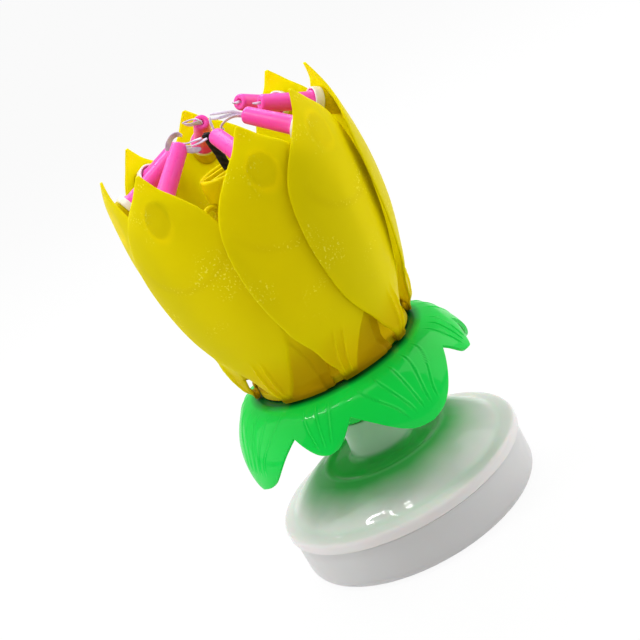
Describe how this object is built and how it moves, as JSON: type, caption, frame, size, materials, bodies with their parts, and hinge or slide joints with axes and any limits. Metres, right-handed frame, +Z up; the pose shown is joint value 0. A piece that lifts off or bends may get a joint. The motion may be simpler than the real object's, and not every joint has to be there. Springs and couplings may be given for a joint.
{
  "type": "musical birthday candle",
  "caption": "Closed yellow flower of overlapping petals with small pink candles inside, on a green calyx that turns on a round music base.",
  "frame": {"origin": "middle of the base's flat underside", "axes": "+Z up along the spindle, -Y towards the front petal"},
  "size_m": [0.0668, 0.0668, 0.118],
  "materials": {
    "base_white": "satin",
    "lid_white": "milky, glossy",
    "leaf_green": "glossy",
    "petal_yellow": "satin",
    "candle_pink": "waxy",
    "cup_white": "satin",
    "wick_lavender": "matt",
    "fuse_black": "matt",
    "paper": "matt",
    "gear_white": "satin",
    "steel": "satin",
    "brass": "satin",
    "board_green": "satin",
    "resin_black": "satin",
    "ceramic": "matt"
  },
  "bodies": {
    "base": {"base_cup": "base_white", "base_lid": "lid_white", "motor": "steel", "idler_pin": "steel", "circuit_board": "board_green", "chip_blob": "resin_black", "start_sensor": "resin_black", "buzzer_disc": "brass", "buzzer_ceramic": "ceramic", "battery_contact_plus": "brass", "battery_contact_minus": "brass", "case_screw_1": "steel", "button_cell_1": "steel", "case_screw_2": "steel", "button_cell_2": "steel", "case_screw_3": "steel", "button_cell_3": "steel"},
    "motor_rotor": {"motor_shaft": "steel", "motor_pinion": "brass"},
    "idler": {"idler_gear": "gear_white"},
    "flower": {"spindle": "gear_white", "spindle_gear": "gear_white", "calyx": "leaf_green", "petal_hub": "petal_yellow", "hub_screw": "steel", "fountain_holder": "petal_yellow", "fountain_tube": "paper", "fountain_fuse": "fuse_black"},
    "petal_1_body": {"petal_1": "petal_yellow", "candle_cup_1": "cup_white", "candle_1": "candle_pink", "wick_1": "wick_lavender"},
    "petal_2_body": {"petal_2": "petal_yellow", "candle_cup_2": "cup_white", "candle_2": "candle_pink", "wick_2": "wick_lavender"},
    "petal_3_body": {"petal_3": "petal_yellow", "candle_cup_3": "cup_white", "candle_3": "candle_pink", "wick_3": "wick_lavender"},
    "petal_4_body": {"petal_4": "petal_yellow", "candle_cup_4": "cup_white", "candle_4": "candle_pink", "wick_4": "wick_lavender"},
    "petal_5_body": {"petal_5": "petal_yellow", "candle_cup_5": "cup_white", "candle_5": "candle_pink", "wick_5": "wick_lavender"},
    "petal_6_body": {"petal_6": "petal_yellow", "candle_cup_6": "cup_white", "candle_6": "candle_pink", "wick_6": "wick_lavender"},
    "petal_7_body": {"petal_7": "petal_yellow", "candle_cup_7": "cup_white", "candle_7": "candle_pink", "wick_7": "wick_lavender"},
    "petal_8_body": {"petal_8": "petal_yellow", "candle_cup_8": "cup_white", "candle_8": "candle_pink", "wick_8": "wick_lavender"}
  },
  "joints": [
    {"name": "flower_spin", "type": "hinge", "parent": "base", "child": "flower", "pos_m": [0, 0, 0.03], "axis": [0, 0, 1], "continuous": true},
    {"name": "idler_spin", "type": "hinge", "parent": "base", "child": "idler", "pos_m": [-0.01299, 0.0075, 0.013], "axis": [0, 0, 1], "continuous": true},
    {"name": "motor_spin", "type": "hinge", "parent": "base", "child": "motor_rotor", "pos_m": [-0.0194, -0.00192, 0.013], "axis": [0, 0, 1], "continuous": true},
    {"name": "petal_1_open", "type": "hinge", "parent": "flower", "child": "petal_1_body", "pos_m": [0.00115, -0.02197, 0.0516], "axis": [0.9986, 0.0523, 0], "range_deg": [0, 65]},
    {"name": "petal_2_open", "type": "hinge", "parent": "flower", "child": "petal_2_body", "pos_m": [0.01635, -0.01472, 0.0516], "axis": [0.6691, 0.7431, 0], "range_deg": [0, 65]},
    {"name": "petal_3_open", "type": "hinge", "parent": "flower", "child": "petal_3_body", "pos_m": [0.02197, 0.00115, 0.0516], "axis": [-0.0523, 0.9986, 0], "range_deg": [0, 65]},
    {"name": "petal_4_open", "type": "hinge", "parent": "flower", "child": "petal_4_body", "pos_m": [0.01472, 0.01635, 0.0516], "axis": [-0.7431, 0.6691, 0], "range_deg": [0, 65]},
    {"name": "petal_5_open", "type": "hinge", "parent": "flower", "child": "petal_5_body", "pos_m": [-0.00115, 0.02197, 0.0516], "axis": [-0.9986, -0.0523, 0], "range_deg": [0, 65]},
    {"name": "petal_6_open", "type": "hinge", "parent": "flower", "child": "petal_6_body", "pos_m": [-0.01635, 0.01472, 0.0516], "axis": [-0.6691, -0.7431, 0], "range_deg": [0, 65]},
    {"name": "petal_7_open", "type": "hinge", "parent": "flower", "child": "petal_7_body", "pos_m": [-0.02197, -0.00115, 0.0516], "axis": [0.0523, -0.9986, 0], "range_deg": [0, 65]},
    {"name": "petal_8_open", "type": "hinge", "parent": "flower", "child": "petal_8_body", "pos_m": [-0.01472, -0.01635, 0.0516], "axis": [0.7431, -0.6691, 0], "range_deg": [0, 65]}
  ],
  "couplings": [
    {"joint": "idler_spin", "follows": "flower_spin", "ratio": -4},
    {"joint": "motor_spin", "follows": "flower_spin", "ratio": 15},
    {"joint": "petal_2_open", "follows": "petal_1_open", "ratio": 1},
    {"joint": "petal_3_open", "follows": "petal_1_open", "ratio": 1},
    {"joint": "petal_4_open", "follows": "petal_1_open", "ratio": 1},
    {"joint": "petal_5_open", "follows": "petal_1_open", "ratio": 1},
    {"joint": "petal_6_open", "follows": "petal_1_open", "ratio": 1},
    {"joint": "petal_7_open", "follows": "petal_1_open", "ratio": 1},
    {"joint": "petal_8_open", "follows": "petal_1_open", "ratio": 1}
  ]
}
